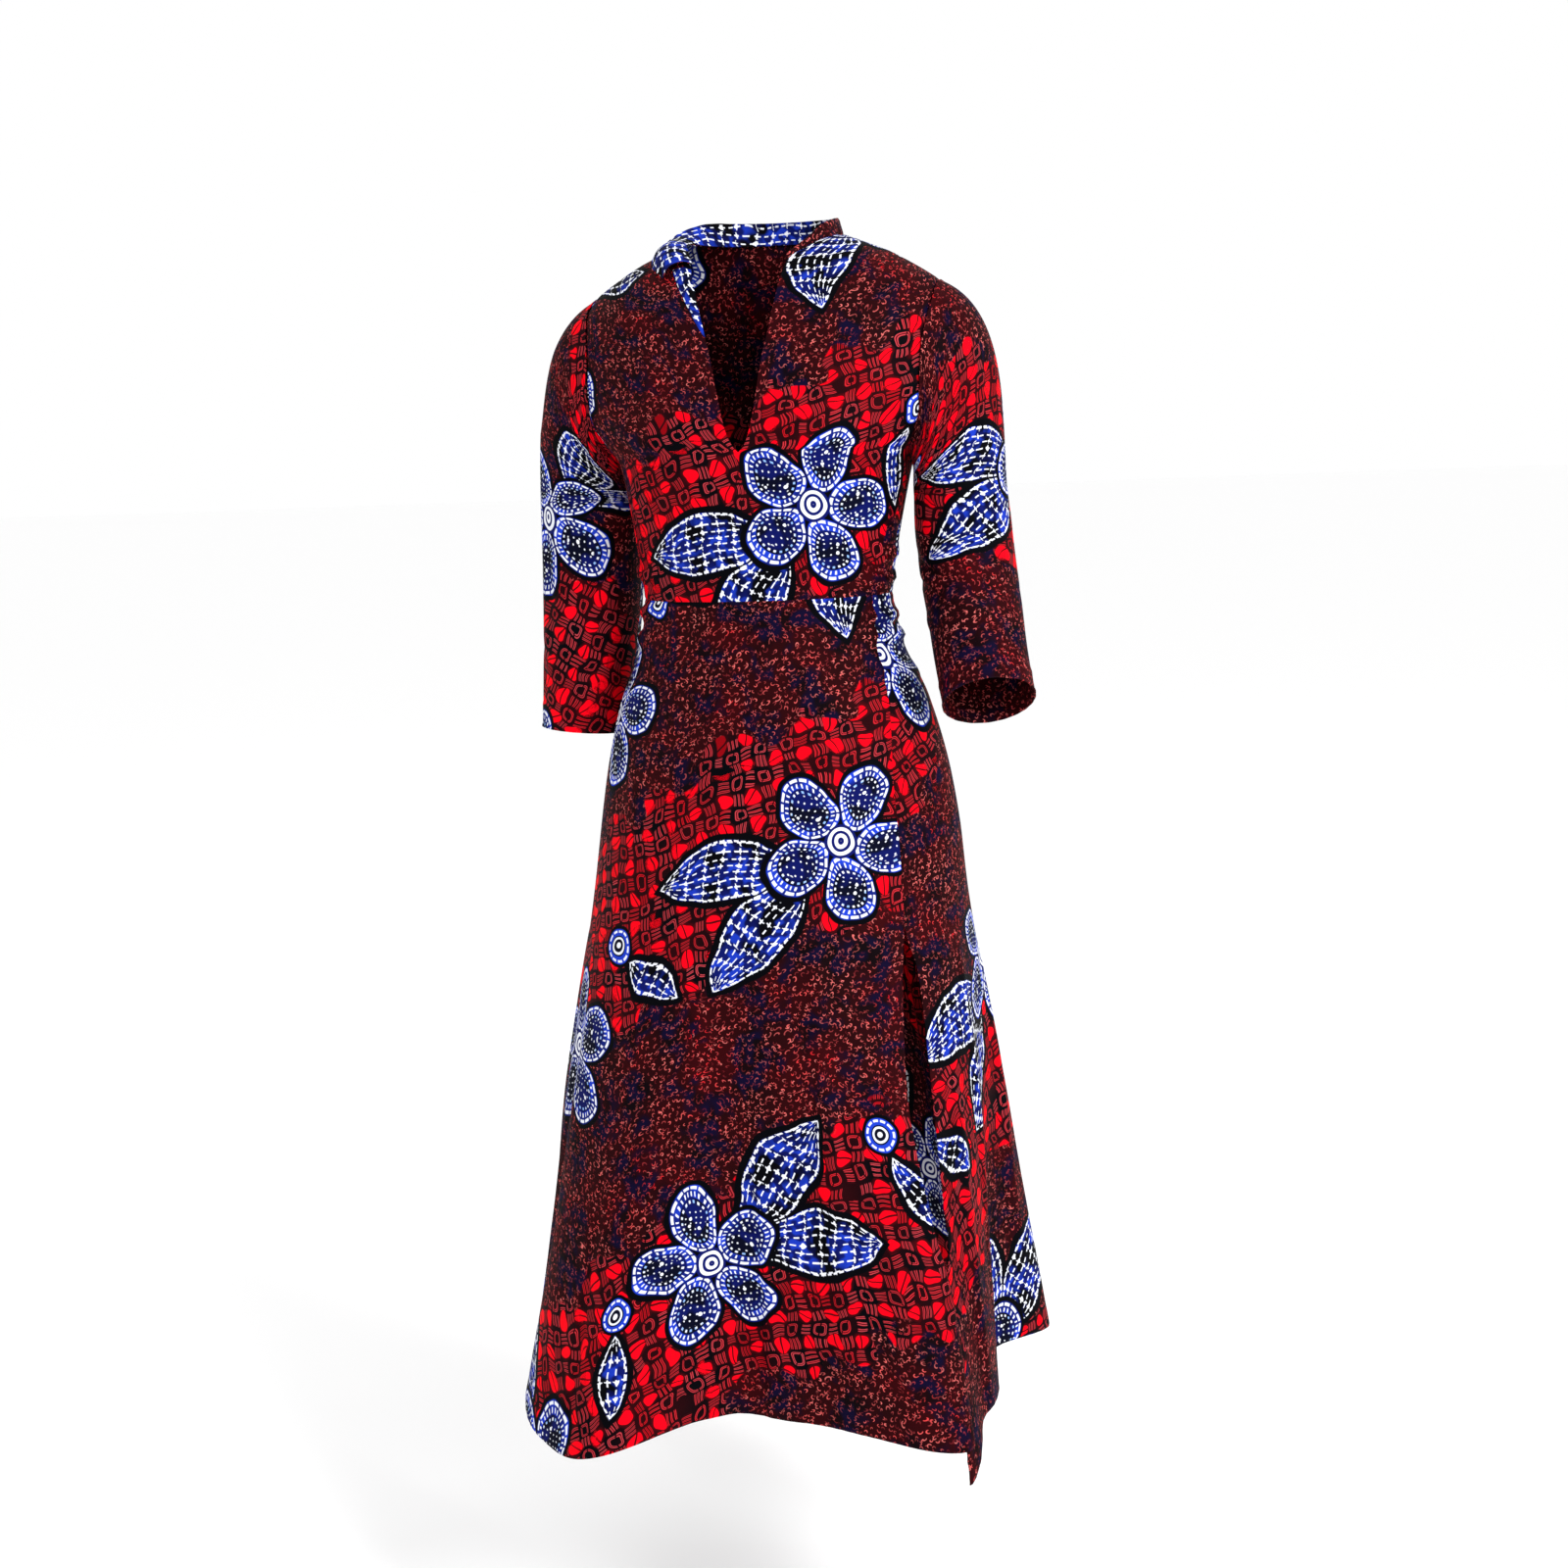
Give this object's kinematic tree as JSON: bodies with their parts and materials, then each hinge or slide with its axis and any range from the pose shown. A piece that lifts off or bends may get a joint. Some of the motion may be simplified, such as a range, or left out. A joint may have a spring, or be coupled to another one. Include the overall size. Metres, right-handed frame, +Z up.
{
  "type": "ankara wax print dress",
  "caption": "Worn-shape midi dress with V neck, small stand collar, three-quarter sleeves, waist seam and a flared skirt slit at one side of the front.",
  "frame": {"origin": "midway between the two side-neck points, where the shoulder seams meet the collar and the wearer's shoulders carry the dress", "axes": "+Z up, -Y out of the dress's front, +X towards the wearer's left"},
  "size_m": [0.5629, 0.4866, 1.2418],
  "materials": {
    "bodice_print": "crisp cotton wax print with a faint waxy sheen: black, maroon and red ground with navy, blue and white figures",
    "sleeve_print": "crisp cotton wax print with a faint waxy sheen: black, maroon and red ground with navy, blue and white figures",
    "collar_print": "crisp cotton wax print, maroon outside and navy, blue and white inside",
    "facing_print": "crisp cotton wax print, navy, blue and white",
    "skirt_print": "crisp cotton wax print with a faint waxy sheen: black, maroon and red ground with navy, blue and white figures"
  },
  "bodies": {
    "root": {"bodice_front": "bodice_print", "bodice_back_left": "bodice_print", "bodice_back_right": "bodice_print", "sleeve_left": "sleeve_print", "sleeve_right": "sleeve_print", "collar": "collar_print", "front_facing": "facing_print", "skirt_front": "skirt_print", "skirt_back_left": "skirt_print", "skirt_back_right": "skirt_print"}
  },
  "joints": []
}
